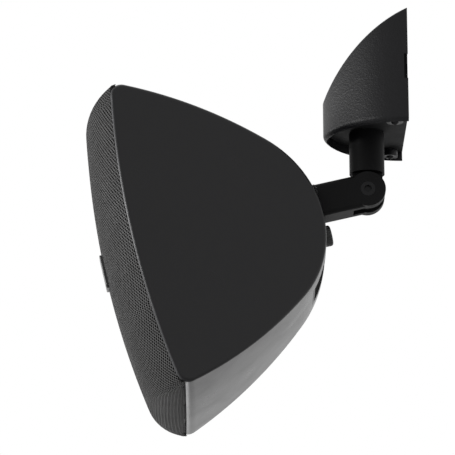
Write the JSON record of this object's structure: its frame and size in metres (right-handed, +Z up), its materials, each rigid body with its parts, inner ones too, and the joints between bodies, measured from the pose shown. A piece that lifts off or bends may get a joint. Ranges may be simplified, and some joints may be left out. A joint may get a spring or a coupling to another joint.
{
  "type": "wall speaker",
  "caption": "Two-way wall speaker: a tapered, crowned cabinet behind a pillow-shaped perforated grille, on an arm that tilts and swivels under a wall bracket.",
  "frame": {"origin": "middle of the four wall screws, on the wall's face", "axes": "+Y into the wall, +Z up, +X to the right for someone who faces the wall"},
  "size_m": [0.2204, 0.2888, 0.3657],
  "materials": {
    "bracket_casting": "powder coated, matt",
    "bush": "turned",
    "cover_plastic": "fine textured satin",
    "screws": "blackened",
    "post_steel": "satin paint",
    "washers": "plain",
    "nuts": "zinc plated",
    "arm_casting": "powder coated, matt",
    "cabinet_plastic": "fine textured satin",
    "baffle_board": "black stained board",
    "foam": "closed-cell foam",
    "grille_metal": "satin paint on punched sheet",
    "cloth": "acoustic cloth",
    "badge": "plain satin plate",
    "basket": "pressed and painted",
    "surround": "rubber",
    "cone": "moulded",
    "spider": "corrugated cloth",
    "coil": "wound wire",
    "iron": "plated",
    "magnet": "ferrite",
    "tweeter_plastic": "moulded",
    "dome": "coated cloth",
    "port_plastic": "moulded",
    "knob_plastic": "moulded",
    "control": "plain",
    "cup_plastic": "moulded",
    "post_brass": "plated",
    "nut_red": "moulded",
    "nut_black": "moulded",
    "board": "laminate",
    "capacitor": "sleeved",
    "resistor": "ceramic"
  },
  "bodies": {
    "bracket": {"wall_bracket": "bracket_casting", "pan_bush": "bush", "bracket_cover": "cover_plastic", "cover_screws": "screws"},
    "post": {"swivel_post": "post_steel", "thrust_washer": "washers", "pan_washer": "washers", "pan_nut": "nuts"},
    "speaker": {"arm": "arm_casting", "flange_screws": "screws", "knuckle_pin": "screws", "knuckle_nut": "nuts", "cabinet_shell": "cabinet_plastic", "front_baffle": "baffle_board", "baffle_seal": "foam", "baffle_screws": "screws", "grille": "grille_metal", "grille_cloth": "cloth", "grille_badge": "badge", "woofer_basket": "basket", "woofer_surround": "surround", "woofer_trim_ring": "surround", "woofer_spider": "spider", "woofer_front_plate": "iron", "woofer_magnet": "magnet", "woofer_yoke": "iron", "woofer_screws": "screws", "tweeter_plate": "tweeter_plastic", "tweeter_dome": "dome", "tweeter_magnet": "magnet", "tweeter_screws": "screws", "port_tube_left": "port_plastic", "port_tube_right": "port_plastic", "level_control": "control", "terminal_cup": "cup_plastic", "terminal_posts": "post_brass", "crossover_board": "board", "crossover_choke": "coil", "crossover_capacitors": "capacitor", "crossover_resistor": "resistor"},
    "cone": {"woofer_cone": "cone", "woofer_dust_cap": "cone", "woofer_voice_coil": "coil"},
    "level_knob": {"level_knob": "knob_plastic"},
    "terminal_nut_right": {"terminal_nut_right": "nut_red"},
    "terminal_nut_left": {"terminal_nut_left": "nut_black"}
  },
  "joints": [
    {"name": "pan", "type": "hinge", "parent": "bracket", "child": "post", "pos_m": [0, -0.0352, -0.105], "axis": [0, 0, 1], "range_deg": [-45, 45]},
    {"name": "tilt", "type": "hinge", "parent": "post", "child": "speaker", "pos_m": [0, -0.0352, -0.105], "axis": [1, 0, 0], "range_deg": [-12.8, 27.2]},
    {"name": "cone_travel", "type": "slide", "parent": "speaker", "child": "cone", "axis": [0, 0.9751, 0.2215], "range_m": [-0.004, 0.004], "stiffness_N_per_m": 1500, "deforming": ["woofer_surround", "woofer_spider"]},
    {"name": "level_turn", "type": "hinge", "parent": "speaker", "child": "level_knob", "pos_m": [0, -0.07326, -0.14513], "axis": [0, 0.9751, 0.2215], "range_deg": [-150, 150]},
    {"name": "terminal_turn_right", "type": "hinge", "parent": "speaker", "child": "terminal_nut_right", "pos_m": [0.0095, -0.09425, -0.18589], "axis": [0, 0.9751, 0.2215], "range_deg": [0, 360]},
    {"name": "terminal_turn_left", "type": "hinge", "parent": "speaker", "child": "terminal_nut_left", "pos_m": [-0.0095, -0.09425, -0.18589], "axis": [0, 0.9751, 0.2215], "range_deg": [0, 360]}
  ]
}
